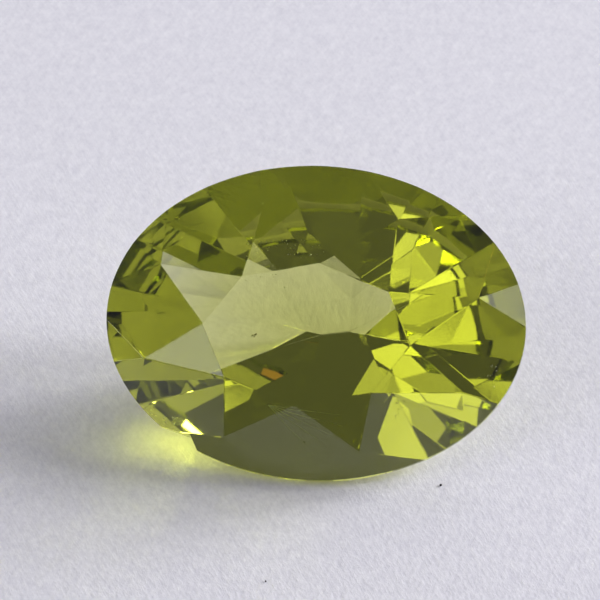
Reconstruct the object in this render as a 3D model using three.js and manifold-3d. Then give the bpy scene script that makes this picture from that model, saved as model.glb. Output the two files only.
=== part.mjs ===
/**
 * A loose oval brilliant-cut peridot, lying on one of its lower girdle facets.
 *
 * The stone is laid out in its cutting frame: the middle of the girdle is z = 0, the table
 * faces +Z and the long axis is X. It is then turned until the facet that it rests on faces
 * straight down, and moved so that the origin is at the middle of the bottom of its
 * bounding box. Millimetres, +Z up.
 */
import * as THREE from 'three';
import { mergeVertices } from 'three/addons/utils/BufferGeometryUtils.js';
import Module from 'manifold-3d';

// Girdle: the oval band around the stone.
const GIRDLE_LENGTH = 8.0;
const GIRDLE_WIDTH = 6.04;
const GIRDLE_THICKNESS = 0.12;
const GIRDLE_SIDES = 96;

// The nick in the girdle: its ends and deepest place by angle, and its depth as a share.
const NICK = { start: 225.5, deepest: 234, end: 238.5, depth: 0.055, height: 0.6 };

// Crown: the upper half, with the table, stars, bezels and upper girdle facets.
const CROWN_HEIGHT = 1;
const TABLE_SHARE = { length: 0.495, width: 0.455 };
const TABLE_OFFSET = { x: -0.07, y: -0.39 };
const STAR_SHARE = 0.53;
const UPPER_GIRDLE_TURN = 13;
const FIRST_BEZEL_ANGLE = 40.75;

// Pavilion: the lower half, with the mains and lower girdle facets. The mains would meet the
// girdle's height this share beyond its oval, or within it where the share is below zero.
const PAVILION_DEPTH = 2.18;
const KEEL_LENGTH = 1.12;
const CULET_OFFSET = { x: 0.3, y: -0.03 };
const LOWER_GIRDLE_SHARE = { ends: 0.78, sides: 0.86 };
const MAINS_BEYOND = { ends: -0.03, sides: 0.095 };
const LOWER_GIRDLE_TURN = 12.25;
const FIRST_MAIN_ANGLE = 12.5;

// Bezels, stars and mains each repeat eight times around the stone.
const REPEATS = 8;

// How the stone lies: the lower girdle facet that it rests on, counted as they are cut.
const RESTING_FACET = 11;

const COLOUR = 0x9aa832;
const ROUGHNESS = 0.04;

const CUTTER_SIZE = 30;

const wasm = await Module();
wasm.setup();

const radians = THREE.MathUtils.degToRad;
const stepAngle = 360 / REPEATS;
const girdleTop = GIRDLE_THICKNESS / 2;
const bezelAngles = anglesFrom(FIRST_BEZEL_ANGLE);
const mainAngles = anglesFrom(FIRST_MAIN_ANGLE);

/** Eight angles around the stone, evenly spaced from the first. */
function anglesFrom(first) {
  return Array.from({ length: REPEATS }, (_, i) => radians(first + i * stepAngle));
}

/** A closed three.js geometry as a solid that can be cut. */
function solidFrom(geometry) {
  const bare = geometry.clone();
  bare.deleteAttribute('normal');
  bare.deleteAttribute('uv');
  const merged = mergeVertices(bare, 1e-5);
  return new wasm.Manifold(new wasm.Mesh({
    numProp: 3,
    vertProperties: new Float32Array(merged.attributes.position.array),
    triVerts: new Uint32Array(merged.index.array),
  }));
}

/** A cut solid back as a three.js geometry with flat facets. */
function geometryFrom(solid) {
  const mesh = solid.getMesh();
  const geometry = new THREE.BufferGeometry();
  geometry.setAttribute('position', new THREE.BufferAttribute(new Float32Array(mesh.vertProperties), 3));
  geometry.setIndex(new THREE.BufferAttribute(new Uint32Array(mesh.triVerts), 1));
  geometry.computeVertexNormals();
  return geometry;
}

/** The point at an angle and a height on the girdle's oval, or on one a share larger. */
function girdlePoint(angle, z, beyond = 0) {
  return new THREE.Vector3(
    (1 + beyond) * (GIRDLE_LENGTH / 2) * Math.cos(angle),
    (1 + beyond) * (GIRDLE_WIDTH / 2) * Math.sin(angle),
    z,
  );
}

/** A value that changes around the stone, from the one at its ends to the one at its sides. */
function around(angle, { ends, sides }) {
  return ends * Math.cos(angle) ** 2 + sides * Math.sin(angle) ** 2;
}

/** The direction along the girdle's oval at an angle. */
function girdleTangent(angle) {
  return new THREE.Vector3(
    -(GIRDLE_LENGTH / 2) * Math.sin(angle),
    (GIRDLE_WIDTH / 2) * Math.cos(angle),
    0,
  ).normalize();
}

/** The plane through three points, facing away from the middle of the stone. */
function facetThrough(a, b, c) {
  const plane = new THREE.Plane().setFromCoplanarPoints(a, b, c);
  return plane.constant > 0 ? plane.negate() : plane;
}

/** A facet along the girdle's oval at an angle, or beyond it, that passes through a point. */
function girdleFacet(angle, z, through, beyond = 0) {
  const touch = girdlePoint(angle, z, beyond);
  return facetThrough(touch, touch.clone().add(girdleTangent(angle)), through);
}

/** The point where the edge between two facets crosses a height. */
function edgePoint(first, second, z) {
  const { x: a, y: b } = first.normal;
  const { x: c, y: d } = second.normal;
  const p = -first.constant - first.normal.z * z;
  const q = -second.constant - second.normal.z * z;
  const determinant = a * d - b * c;
  return new THREE.Vector3((p * d - b * q) / determinant, (a * q - p * c) / determinant, z);
}

/** The table's corner above each bezel. */
function tableCorner(angle) {
  return new THREE.Vector3(
    TABLE_OFFSET.x + TABLE_SHARE.length * (GIRDLE_LENGTH / 2) * Math.cos(angle),
    TABLE_OFFSET.y + TABLE_SHARE.width * (GIRDLE_WIDTH / 2) * Math.sin(angle),
    girdleTop + CROWN_HEIGHT,
  );
}

/** Two girdle facets for each gap between large facets, both through that gap's point. */
function girdlePairs(points, angles, z, turn) {
  return points.flatMap((point, i) => [
    girdleFacet(angles[i] + radians(turn), z, point),
    girdleFacet(angles[(i + 1) % REPEATS] - radians(turn), z, point),
  ]);
}

/** Every facet of the crown: table, bezels, stars and upper girdle facets. */
function crownFacets() {
  const corners = bezelAngles.map(tableCorner);
  const table = new THREE.Plane(new THREE.Vector3(0, 0, 1), -(girdleTop + CROWN_HEIGHT));
  const bezels = bezelAngles.map((angle, i) => girdleFacet(angle, girdleTop, corners[i]));
  const starTips = bezels.map((bezel, i) => edgePoint(
    bezel,
    bezels[(i + 1) % REPEATS],
    girdleTop + CROWN_HEIGHT * (1 - STAR_SHARE),
  ));
  const stars = starTips.map((tip, i) => facetThrough(corners[i], corners[(i + 1) % REPEATS], tip));
  const upperGirdle = girdlePairs(starTips, bezelAngles, girdleTop, UPPER_GIRDLE_TURN);
  return [table, ...bezels, ...stars, ...upperGirdle];
}

/** The end of the culet's keel that is nearer to an angle. */
function keelEnd(angle) {
  return new THREE.Vector3(
    CULET_OFFSET.x + (KEEL_LENGTH / 2) * Math.sign(Math.cos(angle)),
    CULET_OFFSET.y,
    -girdleTop - PAVILION_DEPTH,
  );
}

/** The pavilion's mains, which meet at the keel. */
function pavilionMains() {
  return mainAngles.map((angle) => girdleFacet(
    angle,
    -girdleTop,
    keelEnd(angle),
    around(angle, MAINS_BEYOND),
  ));
}

/** The pavilion's lower girdle facets, two in each gap between mains. */
function lowerGirdleFacets() {
  const mains = pavilionMains();
  const tips = mains.map((main, i) => edgePoint(
    main,
    mains[(i + 1) % REPEATS],
    -girdleTop - PAVILION_DEPTH * around(mainAngles[i] + radians(stepAngle / 2), LOWER_GIRDLE_SHARE),
  ));
  return girdlePairs(tips, mainAngles, -girdleTop, LOWER_GIRDLE_TURN);
}

/** The oval blank that the facets are cut from. */
function blank() {
  const below = GIRDLE_THICKNESS + PAVILION_DEPTH;
  const above = GIRDLE_THICKNESS + CROWN_HEIGHT;
  const shape = new THREE.CylinderGeometry(1, 1, below + above, GIRDLE_SIDES);
  shape.rotateX(Math.PI / 2);
  shape.scale(GIRDLE_LENGTH / 2, GIRDLE_WIDTH / 2, 1);
  shape.translate(0, 0, (above - below) / 2);
  return solidFrom(shape);
}

/** A large block that lies wholly beyond a facet's plane. */
function blockBeyond(plane) {
  const block = new THREE.BoxGeometry(CUTTER_SIZE, CUTTER_SIZE, CUTTER_SIZE);
  block.translate(0, 0, CUTTER_SIZE / 2);
  block.applyQuaternion(new THREE.Quaternion().setFromUnitVectors(new THREE.Vector3(0, 0, 1), plane.normal));
  const foot = plane.coplanarPoint(new THREE.Vector3());
  block.translate(foot.x, foot.y, foot.z);
  return solidFrom(block);
}

/** The notch that the nick leaves, deepest nearer to one end. */
function nick() {
  const outline = [
    girdlePoint(radians(NICK.start), 0),
    girdlePoint(radians(NICK.deepest), 0, -NICK.depth),
    girdlePoint(radians(NICK.end), 0),
    girdlePoint(radians(NICK.deepest), 0, NICK.depth),
  ];
  const shape = new THREE.Shape(outline.map(({ x, y }) => new THREE.Vector2(x, y)));
  const notch = new THREE.ExtrudeGeometry(shape, { depth: NICK.height, bevelEnabled: false });
  notch.translate(0, 0, -NICK.height / 2);
  return solidFrom(notch);
}

/** The faceted stone in its cutting frame. */
function cutStone() {
  const facets = [...crownFacets(), ...pavilionMains(), ...lowerGirdleFacets()];
  const whole = facets.reduce((stone, facet) => stone.subtract(blockBeyond(facet)), blank());
  return geometryFrom(whole.subtract(nick()));
}

/** The turn that sets the resting facet down. */
function restingTurn() {
  const down = new THREE.Vector3(0, 0, -1);
  return new THREE.Quaternion().setFromUnitVectors(lowerGirdleFacets()[RESTING_FACET].normal, down);
}

const stone = new THREE.Mesh(
  cutStone(),
  new THREE.MeshStandardMaterial({ color: COLOUR, roughness: ROUGHNESS, metalness: 0 }),
);
stone.name = 'stone';
stone.quaternion.copy(restingTurn());

const box = new THREE.Box3().setFromObject(stone, true);
stone.position.set(-(box.min.x + box.max.x) / 2, -(box.min.y + box.max.y) / 2, -box.min.z);

const peridot = new THREE.Group();
peridot.add(stone);

export default peridot;
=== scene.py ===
"""An oval-cut peridot lying on paper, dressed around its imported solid.

The stone is cut again in millimetres, in its cutting frame: the middle of the girdle is z = 0,
the table faces +Z and the long axis is X. It is then laid on its resting facet, in metres, where
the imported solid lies. Lights, paper and camera are in metres throughout.
"""
import logging
import math
import random
from dataclasses import dataclass, field
from enum import Enum
from typing import Any, Callable, Mapping, Sequence, Union

import bmesh
import bpy
from mathutils import Matrix, Vector


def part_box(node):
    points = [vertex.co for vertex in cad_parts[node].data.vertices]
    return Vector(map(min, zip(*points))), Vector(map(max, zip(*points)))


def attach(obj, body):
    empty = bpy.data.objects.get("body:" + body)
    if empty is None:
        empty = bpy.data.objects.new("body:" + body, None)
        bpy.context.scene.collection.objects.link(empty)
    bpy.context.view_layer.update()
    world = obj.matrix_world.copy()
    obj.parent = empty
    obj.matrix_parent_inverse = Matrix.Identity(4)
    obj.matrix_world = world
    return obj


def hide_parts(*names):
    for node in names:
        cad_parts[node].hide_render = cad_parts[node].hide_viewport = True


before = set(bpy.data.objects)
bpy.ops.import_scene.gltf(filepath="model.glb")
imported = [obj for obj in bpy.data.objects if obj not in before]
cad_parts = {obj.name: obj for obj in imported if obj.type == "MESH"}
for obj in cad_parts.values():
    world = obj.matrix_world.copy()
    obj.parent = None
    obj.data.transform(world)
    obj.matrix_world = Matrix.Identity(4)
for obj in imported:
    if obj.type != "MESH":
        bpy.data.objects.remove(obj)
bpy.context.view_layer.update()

LOG = logging.getLogger("peridot")
MM = 0.001
REPEATS = 8
STEP = 2 * math.pi / REPEATS
WELD = 1e-5

# A Mix node's colour sockets, which share their names with its other ones
MIX_FIRST = 6
MIX_SECOND = 7
MIX_RESULT = 2

Colour = tuple[float, float, float]
Point = tuple[float, float, float]


class Side(Enum):
    """The two halves of the stone, by the way that each reaches from the girdle."""

    CROWN = 1
    PAVILION = -1


# Facets


@dataclass(frozen=True)
class Facet:
    """A flat cut across the stone.

    Args:
        point: A point on the cut.
        normal: The way the cut faces, out of the stone.
    """

    point: Vector
    normal: Vector

    @staticmethod
    def through(a: Vector, b: Vector, c: Vector) -> "Facet":
        """Lays a cut through three points, facing away from the middle of the stone.

        Args:
            a: The first point.
            b: The second.
            c: The third.

        Returns:
            The cut.
        """
        normal = (b - a).cross(c - a).normalized()
        return Facet(a.copy(), normal if normal.dot(a) > 0 else -normal)

    def crossing(self, other: "Facet", z: float) -> Vector:
        """Finds where the edge between this cut and another crosses a height.

        Args:
            other: The cut that shares the edge.
            z: The height.

        Returns:
            The point on both cuts at that height.
        """
        p = self.normal.dot(self.point) - self.normal.z * z
        q = other.normal.dot(other.point) - other.normal.z * z
        a, b = self.normal.x, self.normal.y
        c, d = other.normal.x, other.normal.y
        determinant = a * d - b * c
        return Vector(((p * d - b * q) / determinant, (a * q - p * c) / determinant, z))


def angles_from(first_degrees: float) -> list[float]:
    """Eight angles around the stone, evenly spaced from the first, in radians."""
    return [math.radians(first_degrees) + i * STEP for i in range(REPEATS)]


def around(angle: float, ends: float, sides: float) -> float:
    """A value that changes around the stone, from the one at its ends to the one at its sides."""
    return ends * math.cos(angle) ** 2 + sides * math.sin(angle) ** 2


@dataclass
class Girdle:
    """The oval band around the stone, in millimetres.

    Args:
        length: Across the ends of the oval.
        width: Across its sides.
        thickness: Height of the band.
        segments: Flats around the band.
    """

    length: float = 8.0
    width: float = 6.04
    thickness: float = 0.12
    segments: int = 96

    def height(self, side: Side) -> float:
        """The edge of the band on one side."""
        return side.value * self.thickness / 2

    def point(self, angle: float, z: float, beyond: float = 0.0) -> Vector:
        """Finds a point on the oval, or on a larger one.

        Args:
            angle: Where it is round the oval, in radians.
            z: Its height.
            beyond: How much larger the oval is, as a share.

        Returns:
            The point.
        """
        size = 1 + beyond
        return Vector((
            size * self.length / 2 * math.cos(angle),
            size * self.width / 2 * math.sin(angle),
            z,
        ))

    def along(self, angle: float) -> Vector:
        """Finds the direction along the oval.

        Args:
            angle: Where, in radians.

        Returns:
            The direction.
        """
        return Vector((
            -self.length / 2 * math.sin(angle),
            self.width / 2 * math.cos(angle),
            0.0,
        )).normalized()

    def facet(self, angle: float, z: float, through: Vector, beyond: float = 0.0) -> Facet:
        """Lays a cut along the oval.

        Args:
            angle: Where the cut runs along the oval, in radians.
            z: Height of the line along which it does.
            through: A further point on the cut.
            beyond: How much larger the oval is that the cut runs along, as a share.

        Returns:
            The cut.
        """
        touch = self.point(angle, z, beyond)
        return Facet.through(touch, touch + self.along(angle), through)

    def pairs(
        self,
        points: Sequence[Vector],
        angles: Sequence[float],
        z: float,
        turn: float,
    ) -> list[Facet]:
        """Lays two girdle facets through each point between large facets.

        Args:
            points: The points, one for each gap between large facets.
            angles: The angles of the large facets.
            z: Height of the line along which the girdle facets run.
            turn: Angle from a large facet to the girdle facet beside it, in degrees.

        Returns:
            The girdle facets.
        """
        cuts = []
        for i, point in enumerate(points):
            cuts.append(self.facet(angles[i] + math.radians(turn), z, point))
            cuts.append(self.facet(angles[(i + 1) % REPEATS] - math.radians(turn), z, point))
        return cuts


@dataclass
class Crown:
    """The upper half, with its table, stars, bezels and upper girdle facets.

    Args:
        height: From the girdle to the table, in millimetres.
        table_length: The table's share of the girdle's length.
        table_width: The table's share of the girdle's width.
        table_x: How far the table is off centre along the stone, in millimetres.
        table_y: How far it is off centre across the stone.
        star_share: How far down the crown the stars reach.
        girdle_turn: Angle from a bezel to the girdle facet beside it, in degrees.
        first_bezel: Angle of the first bezel, in degrees.
    """

    height: float = 1.0
    table_length: float = 0.495
    table_width: float = 0.455
    table_x: float = -0.07
    table_y: float = -0.39
    star_share: float = 0.53
    girdle_turn: float = 13.0
    first_bezel: float = 40.75

    def corner(self, girdle: Girdle, angle: float) -> Vector:
        """Finds the table's corner above a bezel.

        Args:
            girdle: The oval that the crown stands on.
            angle: The bezel's angle, in radians.

        Returns:
            The corner.
        """
        return Vector((
            self.table_x + self.table_length * girdle.length / 2 * math.cos(angle),
            self.table_y + self.table_width * girdle.width / 2 * math.sin(angle),
            girdle.height(Side.CROWN) + self.height,
        ))

    def facets(self, girdle: Girdle) -> list[Facet]:
        """Works out every facet of the crown.

        Args:
            girdle: The oval that the crown stands on.

        Returns:
            The table, bezels, stars and upper girdle facets.
        """
        angles = angles_from(self.first_bezel)
        base = girdle.height(Side.CROWN)
        corners = [self.corner(girdle, angle) for angle in angles]
        table = Facet(Vector((0, 0, base + self.height)), Vector((0, 0, 1)))
        bezels = [girdle.facet(angle, base, corner) for angle, corner in zip(angles, corners)]
        tip_height = base + self.height * (1 - self.star_share)
        tips = []
        stars = []
        for i in range(REPEATS):
            following = (i + 1) % REPEATS
            tips.append(bezels[i].crossing(bezels[following], tip_height))
            stars.append(Facet.through(corners[i], corners[following], tips[i]))
        return [table, *bezels, *stars, *girdle.pairs(tips, angles, base, self.girdle_turn)]


@dataclass
class Pavilion:
    """The lower half, with its mains and lower girdle facets.

    Args:
        depth: From the girdle to the keel, in millimetres.
        keel: Length of the keel that the mains meet at.
        culet_x: How far the keel is off centre along the stone.
        culet_y: How far it is off centre across the stone.
        girdle_share_ends: How far down the lower girdle facets reach at the stone's ends.
        girdle_share_sides: How far down they reach at its sides.
        girdle_turn: Angle from a main to the girdle facet beside it, in degrees.
        beyond_ends: How far beyond the girdle the mains would meet its height, at the ends, as
            a share of the oval; below zero where they meet it within.
        beyond_sides: The same at the sides.
        first_main: Angle of the first main, in degrees.
    """

    depth: float = 2.18
    keel: float = 1.12
    culet_x: float = 0.3
    culet_y: float = -0.03
    girdle_share_ends: float = 0.78
    girdle_share_sides: float = 0.86
    girdle_turn: float = 12.25
    beyond_ends: float = -0.03
    beyond_sides: float = 0.095
    first_main: float = 12.5

    def mains(self, girdle: Girdle) -> list[Facet]:
        """Works out the mains, which meet at the keel.

        Args:
            girdle: The oval that the pavilion hangs from.

        Returns:
            The eight mains.
        """
        base = girdle.height(Side.PAVILION)
        cuts = []
        for angle in angles_from(self.first_main):
            keel_end = Vector((
                self.culet_x + math.copysign(self.keel / 2, math.cos(angle)),
                self.culet_y,
                base - self.depth,
            ))
            beyond = around(angle, self.beyond_ends, self.beyond_sides)
            cuts.append(girdle.facet(angle, base, keel_end, beyond))
        return cuts

    def lower_girdle(self, girdle: Girdle) -> list[Facet]:
        """Works out the lower girdle facets.

        Args:
            girdle: The oval that the pavilion hangs from.

        Returns:
            The facets, two in each gap between mains.
        """
        angles = angles_from(self.first_main)
        base = girdle.height(Side.PAVILION)
        mains = self.mains(girdle)
        tips = []
        for i, main in enumerate(mains):
            share = around(angles[i] + STEP / 2, self.girdle_share_ends, self.girdle_share_sides)
            tips.append(main.crossing(mains[(i + 1) % REPEATS], base - self.depth * share))
        return girdle.pairs(tips, angles, base, self.girdle_turn)


@dataclass
class Nick:
    """The notch knocked out of the girdle.

    Args:
        start: Angle where it begins, in degrees.
        deepest: Angle where it is deepest.
        end: Angle where it ends.
        depth: How deep it is, as a share of the oval.
        height: How tall the cut is, in millimetres.
    """

    start: float = 225.5
    deepest: float = 234.0
    end: float = 238.5
    depth: float = 0.055
    height: float = 0.6

    def outline(self, girdle: Girdle) -> list[Vector]:
        """Works out the notch, seen from above.

        Args:
            girdle: The oval that it is knocked out of.

        Returns:
            Its four corners, at the bottom of the cut.
        """
        z = -self.height / 2
        return [
            girdle.point(math.radians(self.start), z),
            girdle.point(math.radians(self.deepest), z, -self.depth),
            girdle.point(math.radians(self.end), z),
            girdle.point(math.radians(self.deepest), z, self.depth),
        ]


@dataclass
class Rest:
    """How the stone lies.

    Args:
        facet: The lower girdle facet that it rests on, counted from 0 as they are cut.
    """

    facet: int = 11

    def turn(self, lower_girdle: Sequence[Facet]) -> Matrix:
        """The turn that sets the resting facet down."""
        return lower_girdle[self.facet].normal.rotation_difference(Vector((0, 0, -1))).to_matrix()


# Shader nodes


class Wire:
    """A shader socket that can be used in Python expressions on values."""

    def __init__(self, desk: "Desk", socket: bpy.types.NodeSocket) -> None:
        """Keeps the socket and the desk that its node is on."""
        self.desk = desk
        self.socket = socket

    def _maths(self, operation: str, *values: Any) -> "Wire":
        """Adds one Math node."""
        return self.desk.node("ShaderNodeMath", {"operation": operation}, dict(enumerate(values)))

    def __add__(self, other: Any) -> "Wire":
        """This value plus another."""
        return self._maths("ADD", self, other)

    __radd__ = __add__

    def __mul__(self, other: Any) -> "Wire":
        """This value times another."""
        return self._maths("MULTIPLY", self, other)

    __rmul__ = __mul__

    def __sub__(self, other: Any) -> "Wire":
        """This value less another."""
        return self._maths("SUBTRACT", self, other)

    def __rsub__(self, other: Any) -> "Wire":
        """Another value less this one."""
        return self._maths("SUBTRACT", other, self)

    def clamped(self) -> "Wire":
        """This value held between 0 and 1."""
        return self.desk.node("ShaderNodeClamp", {}, {"Value": self})

    def over(self, threshold: float, softness: float) -> "Wire":
        """How far this value is past a threshold, from 0 to 1.

        Args:
            threshold: Where the step begins.
            softness: How wide the step is.

        Returns:
            The step, as a value.
        """
        return ((self - threshold) * (1 / softness)).clamped()


class Desk:
    """The node tree of one new material."""

    def __init__(self, name: str) -> None:
        """Starts an empty material."""
        self.material = bpy.data.materials.new(name)
        self.material.use_nodes = True
        self.tree = self.material.node_tree
        self.tree.nodes.clear()
        self.output = self.tree.nodes.new("ShaderNodeOutputMaterial")

    def node(
        self,
        kind: str,
        settings: Mapping[str, Any],
        inputs: Mapping[Union[str, int], Any],
        result: Union[str, int] = 0,
    ) -> Wire:
        """Adds a node.

        Args:
            kind: The node's type.
            settings: What is set on the node before its sockets, such as an operation.
            inputs: A value or a wire for each input, by name or number.
            result: The output to use, by name or number.

        Returns:
            The chosen output.
        """
        node = self.tree.nodes.new(kind)
        for key, value in settings.items():
            setattr(node, key, value)
        for key, value in inputs.items():
            if isinstance(value, Wire):
                self.tree.links.new(value.socket, node.inputs[key])
            else:
                node.inputs[key].default_value = value
        return Wire(self, node.outputs[result])

    def place(self, stretch: Sequence[float] = (1, 1, 1), turn: float = 0.0) -> Wire:
        """Reads the Object coordinates.

        Args:
            stretch: How far what is laid on them is stretched along each axis.
            turn: How far it is turned about the vertical, in degrees.

        Returns:
            The coordinates.
        """
        point = self.node("ShaderNodeTexCoord", {}, {}, "Object")
        return self.node(
            "ShaderNodeMapping",
            {"vector_type": "TEXTURE"},
            {"Vector": point, "Rotation": (0, 0, math.radians(turn)), "Scale": tuple(stretch)},
        )

    def blend(self, share: Wire, first: Colour, second: Colour) -> Wire:
        """A colour between two, by a share."""
        inputs = {"Factor": share, MIX_FIRST: (*first, 1.0), MIX_SECOND: (*second, 1.0)}
        return self.node("ShaderNodeMix", {"data_type": "RGBA"}, inputs, MIX_RESULT)

    def surface(self, inputs: Mapping[str, Any]) -> None:
        """Ends the material in a Principled surface with these inputs."""
        shader = self.node("ShaderNodeBsdfPrincipled", {}, inputs)
        self.tree.links.new(shader.socket, self.output.inputs["Surface"])

    def volume(self, kind: str, inputs: Mapping[str, Any]) -> None:
        """Fills the material with a volume of this kind."""
        filling = self.node(kind, {}, inputs)
        self.tree.links.new(filling.socket, self.output.inputs["Volume"])


# Finishes


@dataclass(frozen=True)
class Grain:
    """Fractal noise about 0.5, laid on a piece's own coordinates.

    Args:
        scale: How fine it is, per metre.
        detail: How many finer layers it has.
        rough: How strong these are.
        stretch: How far it is stretched along each axis.
        turn: How far it is turned about the vertical, in degrees.
    """

    scale: float
    detail: float = 3.0
    rough: float = 0.5
    stretch: Point = (1, 1, 1)
    turn: float = 0.0

    def on(self, desk: Desk) -> Wire:
        """Lays the noise.

        Args:
            desk: The material's nodes.

        Returns:
            The noise.
        """
        inputs = {
            "Vector": desk.place(self.stretch, self.turn),
            "Scale": self.scale,
            "Detail": self.detail,
            "Roughness": self.rough,
        }
        return desk.node("ShaderNodeTexNoise", {}, inputs, "Fac")


@dataclass(frozen=True)
class PeridotFinish:
    """Clear yellow-green crystal with a worn polish.

    Args:
        ior: Refractive index.
        absorbed: Share of red, green and blue light lost, by natural logarithm, per millimetre.
        polish: Roughness of the clean polish.
        haze: Roughness that handling marks add.
        marks: Where the handling marks are.
        mark_start: How strong the noise is where a mark begins.
        mark_edge: How wide a mark's edge is.
        ripple: Height of the polish's ripple, in metres.
        ripples: How the ripple lies.
    """

    ior: float = 1.685
    absorbed: Colour = (0.13, 0.12, 0.49)
    polish: float = 0.03
    haze: float = 0.02
    marks: Grain = Grain(1800.0, 5.0, 0.6)
    mark_start: float = 0.55
    mark_edge: float = 0.2
    ripple: float = 0.05e-6
    ripples: Grain = Grain(10800.0, 2.0, 0.5, (1, 6, 1), 25.0)

    def material(self) -> bpy.types.Material:
        """Makes the crystal.

        Returns:
            The material.
        """
        desk = Desk("peridot_crystal")
        marks = self.marks.on(desk).over(self.mark_start, self.mark_edge)
        relief = {"Distance": self.ripple, "Height": self.ripples.on(desk)}
        bump = desk.node("ShaderNodeBump", {}, relief)
        desk.surface({
            "Base Color": (1.0, 1.0, 1.0, 1.0),
            "Roughness": marks * self.haze + self.polish,
            "IOR": self.ior,
            "Transmission Weight": 1.0,
            "Normal": bump,
        })
        strongest = max(self.absorbed)
        tint = tuple(1 - share / strongest for share in self.absorbed)
        absorption = {"Color": (*tint, 1.0), "Density": strongest / MM}
        desk.volume("ShaderNodeVolumeAbsorption", absorption)
        return desk.material


@dataclass(frozen=True)
class SpeckFinish:
    """The dull crust of a tiny inclusion.

    Args:
        name: The material's name.
        dark: Colour of the darker grains.
        light: Colour of the lighter grains.
        grain: How the grains lie.
        smoothest: Roughness of the darkest grains.
        dulling: How much rougher the lightest grains are.
    """

    name: str
    dark: Colour
    light: Colour
    grain: Grain = Grain(60000.0)
    smoothest: float = 0.6
    dulling: float = 0.3

    def material(self) -> bpy.types.Material:
        """Makes the crust.

        Returns:
            The material.
        """
        desk = Desk(self.name)
        grain = self.grain.on(desk)
        desk.surface({
            "Base Color": desk.blend(grain, self.dark, self.light),
            "Roughness": self.smoothest + self.dulling * grain,
        })
        return desk.material


@dataclass(frozen=True)
class PaperFinish:
    """Uncoated pale paper with a lavender cast.

    Args:
        light: Colour of its lighter parts.
        dark: Colour of its darker parts.
        roughness: Roughness of its surface.
        height: Height of its relief, in metres.
        formation: Its cloudy unevenness.
        fibres: Its fibres, which lie two ways.
        tooth: Its fine tooth.
        cloud_share: Weight of the clouds, and of the tooth, in its tone, where the fibres have 1.
        contrast: How strongly its tone changes.
        fibre_share: Share of the fibres in its relief; the tooth has the rest.
        relief: How strong the relief is beside the stone.
        fade: How fast the relief weakens away from the camera, per metre.
    """

    light: Colour = (0.94, 0.925, 1.0)
    dark: Colour = (0.74, 0.725, 0.82)
    roughness: float = 0.9
    height: float = 22e-6
    formation: Grain = Grain(3500.0, 4.0, 0.6)
    fibres: tuple[Grain, Grain] = (
        Grain(15000.0, 3.0, 0.6, (3.5, 1, 1), -62.0),
        Grain(12000.0, 3.0, 0.6, (3.5, 1, 1), -105.0),
    )
    tooth: Grain = Grain(9000.0, 4.0, 0.65)
    cloud_share: float = 0.5
    contrast: float = 1.5
    fibre_share: float = 0.7
    relief: float = 0.6
    fade: float = 55.0

    def material(self) -> bpy.types.Material:
        """Makes the paper.

        Returns:
            The material.
        """
        desk = Desk("plain_paper")
        formation = self.formation.on(desk)
        steep, steeper = (fibres.on(desk) for fibres in self.fibres)
        fibre = steep * 0.5 + steeper * 0.5
        tooth = self.tooth.on(desk)
        uneven = formation * self.cloud_share + fibre + tooth * self.cloud_share
        middle = self.cloud_share + 0.5
        tone = ((uneven - middle) * self.contrast + 0.5).clamped()
        y = desk.node("ShaderNodeSeparateXYZ", {}, {0: desk.place()}, "Y")
        strength = (self.relief - y * self.fade).clamped()
        relief = (fibre * self.fibre_share + tooth * (1 - self.fibre_share)) * strength
        bump = desk.node("ShaderNodeBump", {}, {"Distance": self.height, "Height": relief})
        desk.surface({
            "Base Color": desk.blend(tone, self.dark, self.light),
            "Roughness": self.roughness,
            "Normal": bump,
        })
        return desk.material


# Modelling


def start_clean() -> None:
    """Leaves edit mode and selects nothing."""
    if bpy.context.object and bpy.context.object.mode != "OBJECT":
        bpy.ops.object.mode_set(mode="OBJECT")
    bpy.ops.object.select_all(action="DESELECT")


def just_added(name: str) -> bpy.types.Object:
    """Names the object that the last operator added.

    Args:
        name: Its name.

    Returns:
        The object.
    """
    piece = bpy.context.object
    piece.name = name
    piece.data.name = name
    return piece


def only(piece: bpy.types.Object) -> None:
    """Selects one object alone and makes it the active one.

    Args:
        piece: The object.
    """
    start_clean()
    piece.select_set(True)
    bpy.context.view_layer.objects.active = piece


def pick_edges(piece: bpy.types.Object, wanted: Callable[[bmesh.types.BMEdge], bool]) -> None:
    """Selects, in edit mode, the edges that a test lets through.

    Args:
        piece: The object in edit mode.
        wanted: The test.
    """
    bpy.ops.mesh.select_mode(type="EDGE")
    bpy.ops.mesh.select_all(action="DESELECT")
    mesh = bmesh.from_edit_mesh(piece.data)
    for edge in mesh.edges:
        edge.select = wanted(edge)
    mesh.select_flush_mode()
    bmesh.update_edit_mesh(piece.data)


def settle(piece: bpy.types.Object, place: Matrix) -> None:
    """Moves a piece and applies its place to its mesh.

    Args:
        piece: The piece.
        place: Where it goes.
    """
    only(piece)
    piece.matrix_world = place
    bpy.ops.object.transform_apply(location=True, rotation=True, scale=True)


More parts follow.
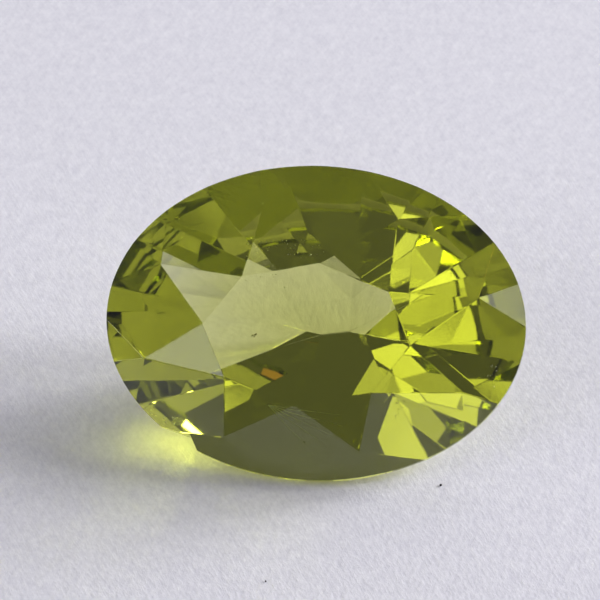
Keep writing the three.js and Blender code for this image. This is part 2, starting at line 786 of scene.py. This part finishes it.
@dataclass
class Stone:
    """The cut stone.

    Args:
        girdle: Its oval band.
        crown: Its upper half.
        pavilion: Its lower half.
        nick: The notch in its girdle.
        rest: How it lies.
        wear: Half the width of a worn facet junction, in millimetres.
        wear_segments: Faces across a worn junction.
        least_turn: Angle between two facets below which their junction stays, in degrees.
        least_wears: Length of a junction below which it stays, in times the wear.
        upright: How far a facet's normal has to be from level for its junctions to wear.
        finish: Its crystal.
        sharp_corners: Its corners before it is worn, in its cutting frame.
    """

    girdle: Girdle = field(default_factory=Girdle)
    crown: Crown = field(default_factory=Crown)
    pavilion: Pavilion = field(default_factory=Pavilion)
    nick: Nick = field(default_factory=Nick)
    rest: Rest = field(default_factory=Rest)
    wear: float = 0.011
    wear_segments: int = 2
    least_turn: float = 1.5
    least_wears: float = 4.0
    upright: float = 0.05
    finish: PeridotFinish = PeridotFinish()
    sharp_corners: list[Vector] = field(default_factory=list, init=False)

    def blank(self) -> bpy.types.Object:
        """Makes the oval blank that the facets are cut from.

        Returns:
            The blank.
        """
        above = self.girdle.thickness + self.crown.height
        below = self.girdle.thickness + self.pavilion.depth
        start_clean()
        bpy.ops.mesh.primitive_cylinder_add(
            vertices=self.girdle.segments,
            radius=1.0,
            depth=above + below,
            location=(0, 0, (above - below) / 2),
        )
        piece = just_added("peridot")
        piece.scale = (self.girdle.length / 2, self.girdle.width / 2, 1)
        bpy.ops.object.transform_apply(location=True, rotation=True, scale=True)
        return piece

    def cut(self, piece: bpy.types.Object) -> None:
        """Cuts every facet.

        Args:
            piece: The blank.
        """
        bpy.ops.object.mode_set(mode="EDIT")
        cuts = [
            *self.crown.facets(self.girdle),
            *self.pavilion.mains(self.girdle),
            *self.pavilion.lower_girdle(self.girdle),
        ]
        for facet in cuts:
            bpy.ops.mesh.select_all(action="SELECT")
            bpy.ops.mesh.bisect(
                plane_co=facet.point,
                plane_no=facet.normal,
                use_fill=True,
                clear_outer=True,
                threshold=WELD,
            )
        bpy.ops.object.mode_set(mode="OBJECT")

    def knock_nick(self, piece: bpy.types.Object) -> None:
        """Takes the notch out of the girdle.

        Args:
            piece: The cut stone.
        """
        start_clean()
        bpy.ops.mesh.primitive_plane_add(size=2.0)
        notch = just_added("notch")
        for vertex, corner in zip([0, 1, 3, 2], self.nick.outline(self.girdle)):
            notch.data.vertices[vertex].co = corner
        bpy.ops.object.mode_set(mode="EDIT")
        bpy.ops.mesh.select_all(action="SELECT")
        bpy.ops.mesh.extrude_region_move(TRANSFORM_OT_translate={"value": (0, 0, self.nick.height)})
        bpy.ops.mesh.select_all(action="SELECT")
        bpy.ops.mesh.normals_make_consistent(inside=False)
        bpy.ops.object.mode_set(mode="OBJECT")
        only(piece)
        cutter = piece.modifiers.new("nick", "BOOLEAN")
        cutter.operation, cutter.object, cutter.solver = "DIFFERENCE", notch, "EXACT"
        bpy.ops.object.modifier_apply(modifier=cutter.name)
        bpy.data.objects.remove(notch, do_unlink=True)

    def wear_junctions(self, piece: bpy.types.Object) -> None:
        """Rounds the junctions between facets, as handling does.

        Args:
            piece: The cut stone.
        """
        least_angle = math.radians(self.least_turn)
        least_length = self.least_wears * self.wear

        def junction(edge: bmesh.types.BMEdge) -> bool:
            """Tells whether an edge lies between two facets, away from the girdle's band.

            Args:
                edge: The edge.

            Returns:
                Whether it wears.
            """
            sloped = all(abs(face.normal.z) > self.upright for face in edge.link_faces)
            long_enough = edge.calc_length() > least_length
            return sloped and long_enough and edge.calc_face_angle(0) > least_angle

        only(piece)
        bpy.ops.object.mode_set(mode="EDIT")
        pick_edges(piece, junction)
        bpy.ops.mesh.bevel(
            offset=self.wear,
            segments=self.wear_segments,
            profile=0.5,
            clamp_overlap=False,
        )
        bpy.ops.mesh.select_all(action="SELECT")
        bpy.ops.mesh.normals_make_consistent(inside=False)
        bpy.ops.object.mode_set(mode="OBJECT")

    def place(self) -> Matrix:
        """Works out where the stone lies, once it is cut.

        Returns:
            The matrix from its cutting frame, in millimetres, to its place, in metres.
        """
        turn = self.rest.turn(self.pavilion.lower_girdle(self.girdle))
        turned = (Matrix.Scale(MM, 3) @ turn).to_4x4()
        low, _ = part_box("stone")
        corners = [turned @ vertex for vertex in self.sharp_corners]
        lowest = Vector(min(corner[i] for corner in corners) for i in range(3))
        return Matrix.Translation(Vector(low) - lowest) @ turned

    def build(self) -> bpy.types.Object:
        """Cuts, wears and lays down the stone, and gives it its crystal.

        Returns:
            The stone.
        """
        piece = self.blank()
        self.cut(piece)
        self.knock_nick(piece)
        self.sharp_corners = [vertex.co.copy() for vertex in piece.data.vertices]
        self.wear_junctions(piece)
        settle(piece, self.place())
        piece.data.materials.clear()
        piece.data.materials.append(self.finish.material())
        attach(piece, "root")
        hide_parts("stone")
        return piece


@dataclass(frozen=True)
class Cloud:
    """A scatter of specks inside the stone, in its cutting frame, in millimetres.

    Args:
        middle: Where the scatter is centred.
        spread: How far it reaches along each axis, to either side.
        count: How many specks it has.
        radius: Radius of the largest.
    """

    middle: Point
    spread: Point
    count: int
    radius: float


def joined(
    name: str,
    parts: Sequence[bpy.types.Object],
    place: Matrix,
    finish: SpeckFinish,
) -> bpy.types.Object:
    """Joins what is inside the stone into one piece and lays it down with the stone.

    Args:
        name: The piece's name.
        parts: What is joined, in the stone's cutting frame.
        place: From that frame to where the stone lies.
        finish: The piece's crust.

    Returns:
        The piece.
    """
    only(parts[0])
    for part in parts:
        part.select_set(True)
    bpy.ops.object.join()
    piece = just_added(name)
    settle(piece, place)
    piece.data.materials.clear()
    piece.data.materials.append(finish.material())
    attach(piece, "root")
    return piece


@dataclass
class Inclusions:
    """Specks of one finish inside the stone.

    Args:
        name: The piece's name.
        clouds: Where they are.
        finish: Their crust.
        seed: Seed of the scatter.
        sizes: Smallest and largest size of a speck, as a share of its cloud's radius.
        squash: Least and most that a speck is stretched along an axis.
        roughen: Least and most that a speck's corners are moved out.
    """

    name: str
    clouds: Sequence[Cloud]
    finish: SpeckFinish
    seed: int
    sizes: tuple[float, float] = (0.4, 1.0)
    squash: tuple[float, float] = (0.6, 1.2)
    roughen: tuple[float, float] = (0.8, 1.15)

    def build(self, place: Matrix) -> bpy.types.Object:
        """Makes the specks as one piece.

        Args:
            place: From the stone's cutting frame to where it lies.

        Returns:
            The piece.
        """
        draw = random.Random(self.seed)
        specks = []
        for cloud in self.clouds:
            for _ in range(cloud.count):
                where = [m + s * draw.uniform(-1, 1) for m, s in zip(cloud.middle, cloud.spread)]
                size = cloud.radius * draw.uniform(*self.sizes)
                specks.append(self.speck(draw, where, size))
        return joined(self.name, specks, place, self.finish)

    def speck(self, draw: random.Random, where: Sequence[float], size: float) -> bpy.types.Object:
        """Makes one uneven grain.

        Args:
            draw: The scatter's random numbers.
            where: Its middle.
            size: Its radius.

        Returns:
            The grain.
        """
        start_clean()
        bpy.ops.mesh.primitive_ico_sphere_add(subdivisions=1, radius=size, location=where)
        grain = bpy.context.object
        grain.scale = [draw.uniform(*self.squash) for _ in range(3)]
        for vertex in grain.data.vertices:
            vertex.co *= draw.uniform(*self.roughen)
        bpy.ops.object.transform_apply(location=True, rotation=True, scale=True)
        return grain


@dataclass
class Feather:
    """A healed crack that shows as a fan of fine lines, in the cutting frame, in millimetres.

    Args:
        tip: Where the lines meet.
        ends: Where each of them ends.
        thickness: How thick a line is where it starts.
        thinning: How thick it is where it ends, as a share of that.
        sides: Flats around a line.
        finish: The lines' crust.
    """

    tip: Point
    ends: Sequence[Point]
    thickness: float = 0.010
    thinning: float = 0.25
    sides: int = 5
    finish: SpeckFinish = SpeckFinish("feather_crust", (0.18, 0.21, 0.09), (0.40, 0.44, 0.20))

    def build(self, place: Matrix) -> bpy.types.Object:
        """Makes the lines as one piece.

        Args:
            place: From the stone's cutting frame to where it lies.

        Returns:
            The piece.
        """
        lines = [self.line(Vector(self.tip), Vector(end)) for end in self.ends]
        return joined("feather", lines, place, self.finish)

    def line(self, tip: Vector, end: Vector) -> bpy.types.Object:
        """Makes one line, which thins out towards its end.

        Args:
            tip: Where it starts.
            end: Where it ends.

        Returns:
            The line.
        """
        way = end - tip
        start_clean()
        bpy.ops.mesh.primitive_cone_add(
            vertices=self.sides,
            radius1=self.thickness / 2,
            radius2=self.thickness / 2 * self.thinning,
            depth=way.length,
            location=(tip + end) / 2,
            rotation=way.to_track_quat("Z", "Y").to_euler(),
        )
        bpy.ops.object.transform_apply(location=True, rotation=True, scale=True)
        return bpy.context.object


@dataclass
class Mote:
    """A dark mote on the paper.

    Args:
        name: Its name.
        x: Where it lies along the stone, in metres.
        y: Where it lies across the stone.
        radius: Its radius, in metres.
        finish: Its crust.
    """

    name: str
    x: float
    y: float
    radius: float
    finish: SpeckFinish = SpeckFinish("mote_crust", (0.01, 0.01, 0.012), (0.04, 0.04, 0.045))

    def build(self) -> bpy.types.Object:
        """Lays the mote.

        Returns:
            The mote.
        """
        start_clean()
        bpy.ops.mesh.primitive_ico_sphere_add(subdivisions=2, radius=self.radius)
        mote = just_added(self.name)
        settle(mote, Matrix.Translation((self.x, self.y, 0.0)))
        mote.data.materials.append(self.finish.material())
        return mote


@dataclass
class Paper:
    """The sheet that the stone lies on.

    Args:
        size: Its side, in metres.
        gap: How far it lies below the stone, so that light gets between the two.
        finish: Its paper.
    """

    size: float = 0.6
    gap: float = 20e-6
    finish: PaperFinish = PaperFinish()

    def build(self) -> bpy.types.Object:
        """Lays the sheet.

        Returns:
            The sheet.
        """
        start_clean()
        bpy.ops.mesh.primitive_plane_add(size=self.size)
        sheet = just_added("paper")
        settle(sheet, Matrix.Translation((0, 0, -self.gap)))
        sheet.data.materials.append(self.finish.material())
        return sheet


# Light and camera


def direction(azimuth: float, elevation: float) -> Vector:
    """Finds the way to a place round the stone.

    Args:
        azimuth: Where it is, in degrees: 0 is the front, 90 the right and 180 the back.
        elevation: How high it is, in degrees.

    Returns:
        The direction from the stone.
    """
    a, e = math.radians(azimuth), math.radians(elevation)
    return Vector((math.sin(a) * math.cos(e), -math.cos(a) * math.cos(e), math.sin(e)))


@dataclass(frozen=True)
class SoftBox:
    """One area light, by how it looks from the stone.

    Args:
        name: Its name.
        azimuth: Where it stands round the stone, in degrees.
        elevation: How high it stands, in degrees.
        across: How wide it looks, in degrees.
        high: How tall it looks, in degrees.
        radiance: How bright it looks.
        colour: Its colour.
        distance: How far away it is, in metres.
    """

    name: str
    azimuth: float
    elevation: float
    across: float
    high: float
    radiance: float
    colour: Colour = (1.0, 1.0, 1.0)
    distance: float = 0.5

    def span(self, angle: float) -> float:
        """The size that looks an angle in degrees wide from the stone."""
        return 2 * self.distance * math.tan(math.radians(angle / 2))

    def build(self) -> bpy.types.Object:
        """Hangs the light, facing the stone.

        Returns:
            The light.
        """
        lamp = bpy.data.lights.new(self.name, "AREA")
        lamp.shape = "RECTANGLE"
        lamp.size = self.span(self.across)
        lamp.size_y = self.span(self.high)
        lamp.energy = self.radiance * math.pi * lamp.size * lamp.size_y
        lamp.color = self.colour
        holder = bpy.data.objects.new(self.name, lamp)
        bpy.context.scene.collection.objects.link(holder)
        way = direction(self.azimuth, self.elevation)
        holder.location = way * self.distance
        holder.rotation_euler = (-way).to_track_quat("-Z", "Y").to_euler()
        return holder


@dataclass
class Studio:
    """The light around the stone, and how the picture shows it.

    Args:
        boxes: The area lights.
        ambient: Colour of the plain surrounding light.
        strength: Its strength.
        bounces: How often light may turn inside the stone before it is lost.
        blur: How far light that the stone throws on the paper is blurred.
        view: How the picture turns light into colour.
        pattern: How the light's samples are spread; this one leaves no dots on the paper.
    """

    boxes: Sequence[SoftBox]
    ambient: Colour = (0.93, 0.94, 1.0)
    strength: float = 0.18
    bounces: int = 24
    blur: float = 0.0
    view: str = "Standard"
    pattern: str = "TABULATED_SOBOL"

    def build(self) -> None:
        """Hangs the lights and sets the surrounding light."""
        for box in self.boxes:
            box.build()
        world = bpy.data.worlds.new("studio")
        world.use_nodes = True
        background = world.node_tree.nodes["Background"]
        background.inputs["Color"].default_value = (*self.ambient, 1.0)
        background.inputs["Strength"].default_value = self.strength
        scene = bpy.context.scene
        scene.world = world
        scene.view_settings.view_transform = self.view
        scene.cycles.max_bounces = self.bounces
        scene.cycles.glossy_bounces = self.bounces
        scene.cycles.transmission_bounces = self.bounces
        scene.cycles.blur_glossy = self.blur
        scene.cycles.sampling_pattern = self.pattern


@dataclass
class PhotoCamera:
    """The camera at the photograph's place.

    Args:
        azimuth: Where it stands round the stone, in degrees.
        elevation: How high it looks down from, in degrees.
        roll: How far it leans, in degrees.
        aim: What the middle of the frame shows, in metres.
        distance: How far away it is.
        field_width: Width of what the frame shows at that distance.
        sensor: Width of the sensor, in millimetres.
        reach: How many times nearer and farther than the stone things still show.
    """

    azimuth: float
    elevation: float
    roll: float
    aim: Point
    distance: float = 0.15
    field_width: float = 0.0114
    sensor: float = 36.0
    reach: float = 100.0

    def build(self) -> bpy.types.Object:
        """Sets up the camera and makes it the scene's.

        Returns:
            The camera.
        """
        lens = bpy.data.cameras.new("camera")
        lens.sensor_width = self.sensor
        lens.lens = self.sensor * self.distance / self.field_width
        lens.clip_start = self.distance / self.reach
        lens.clip_end = self.distance * self.reach
        camera = bpy.data.objects.new("camera", lens)
        bpy.context.scene.collection.objects.link(camera)
        back = direction(self.azimuth, self.elevation)
        level = back.to_track_quat("Z", "Y").to_matrix()
        turned = level @ Matrix.Rotation(math.radians(self.roll), 3, "Z")
        where = Vector(self.aim) + back * self.distance
        camera.matrix_world = Matrix.Translation(where) @ turned.to_4x4()
        bpy.context.scene.camera = camera
        return camera


# What this stone and its photograph have


DARK_SPECKS = SpeckFinish("dark_inclusion", (0.10, 0.09, 0.05), (0.26, 0.23, 0.13))
PALE_SPECKS = SpeckFinish("pale_inclusion", (0.35, 0.36, 0.25), (0.75, 0.76, 0.6))

DARK_CLOUDS = [
    Cloud((-1.09, -0.41, 0.56), (0.045, 0.03, 0.02), 7, 0.024),
    Cloud((-0.42, 1.22, 0.70), (0.04, 0.015, 0.02), 3, 0.022),
    Cloud((-0.58, 1.27, 0.68), (0.03, 0.02, 0.02), 2, 0.016),
    Cloud((-0.60, 1.25, 0.64), (0.75, 0.20, 0.03), 30, 0.016),
    Cloud((1.46, -2.19, 0.30), (0.01, 0.01, 0.01), 1, 0.020),
]
PALE_CLOUDS = [
    Cloud((-0.60, 1.20, 0.68), (0.75, 0.25, 0.03), 26, 0.015),
    Cloud((-0.95, 0.72, 0.84), (0.42, 0.22, 0.03), 14, 0.014),
    Cloud((3.40, -0.85, 0.09), (0.12, 0.20, 0.03), 16, 0.019),
    Cloud((-2.60, -2.00, 0.05), (0.16, 0.08, 0.02), 8, 0.026),
    Cloud((-3.02, -1.80, -0.02), (0.14, 0.13, 0.02), 14, 0.018),
]
FEATHER = Feather(
    tip=(-0.71, -1.71, 0.82),
    ends=(
        (-0.10, -2.26, 0.44),
        (0.24, -2.25, 0.46),
        (0.54, -2.17, 0.52),
        (0.68, -2.00, 0.62),
        (0.64, -1.81, 0.73),
    ),
)
MOTES = [
    Mote("mote", 0.00256, -0.00225, 24e-6),
    Mote("small_mote", -0.00047, -0.00507, 17e-6),
]

# Each light by azimuth, elevation, width, height and radiance. Most stand where a bright facet
# in the photograph looks. The warm lamp stands where an orange one looks, in place of the
# stone's dispersion.
LIGHTS = [
    SoftBox("key_light", 103.0, 31.0, 10.0, 10.0, 27.0),
    SoftBox("second_key", 122.0, 31.0, 8.0, 10.0, 26.0),
    SoftBox("low_window", 121.0, 13.0, 12.0, 22.0, 24.0),
    SoftBox("right_strip", 98.0, 14.0, 14.0, 18.0, 12.0),
    SoftBox("back_strip", 134.0, 14.0, 12.0, 22.0, 6.0),
    SoftBox("right_window", 83.0, 38.0, 12.0, 12.0, 2.0),
    SoftBox("right_sill", 82.0, 20.0, 18.0, 24.0, 0.6),
    SoftBox("left_window", 289.0, 34.0, 12.0, 16.0, 2.0),
    SoftBox("left_corner", 301.0, 34.0, 12.0, 26.0, 0.8),
    SoftBox("front_window", 311.0, 37.0, 9.0, 15.0, 1.3),
    SoftBox("high_window", 296.0, 52.0, 11.0, 9.0, 1.0),
    SoftBox("front_sill", 312.0, 25.0, 12.0, 9.0, 1.4),
    SoftBox("left_sill", 287.0, 8.0, 8.0, 20.0, 1.9),
    SoftBox("left_lamp", 279.0, 20.0, 8.0, 7.0, 1.9),
    SoftBox("back_window", 235.0, 41.0, 7.0, 9.0, 2.6),
    SoftBox("back_wall", 200.0, 10.0, 50.0, 16.0, 1.2),
    SoftBox("back_right", 165.0, 30.0, 34.0, 22.0, 1.3),
    SoftBox("warm_lamp", 113.0, 60.0, 8.0, 5.0, 0.55, (1.0, 0.38, 0.14)),
]

CAMERA = PhotoCamera(
    azimuth=7.37,
    elevation=42.84,
    roll=-2.06,
    aim=(-0.0003241, 0.0002694, 0.0022426),
)


def report(piece: bpy.types.Object) -> None:
    """Logs a finished piece and how many faces it has."""
    LOG.info("%s: %d faces", piece.name, len(piece.data.polygons))


def main() -> None:
    """Builds the stone, what is in it, the paper, the light and the camera, in that order."""
    logging.basicConfig(level=logging.INFO, format="%(name)s: %(message)s")
    stone = Stone()
    report(stone.build())
    place = stone.place()
    inside = [
        Inclusions("dark_inclusions", DARK_CLOUDS, DARK_SPECKS, seed=3),
        Inclusions("pale_inclusions", PALE_CLOUDS, PALE_SPECKS, seed=5),
        FEATHER,
    ]
    for inclusion in inside:
        report(inclusion.build(place))
    for mote in MOTES:
        report(mote.build())
    report(Paper().build())
    Studio(LIGHTS).build()
    LOG.info("%s placed", CAMERA.build().name)
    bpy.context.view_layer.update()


if __name__ == "__main__":
    main()
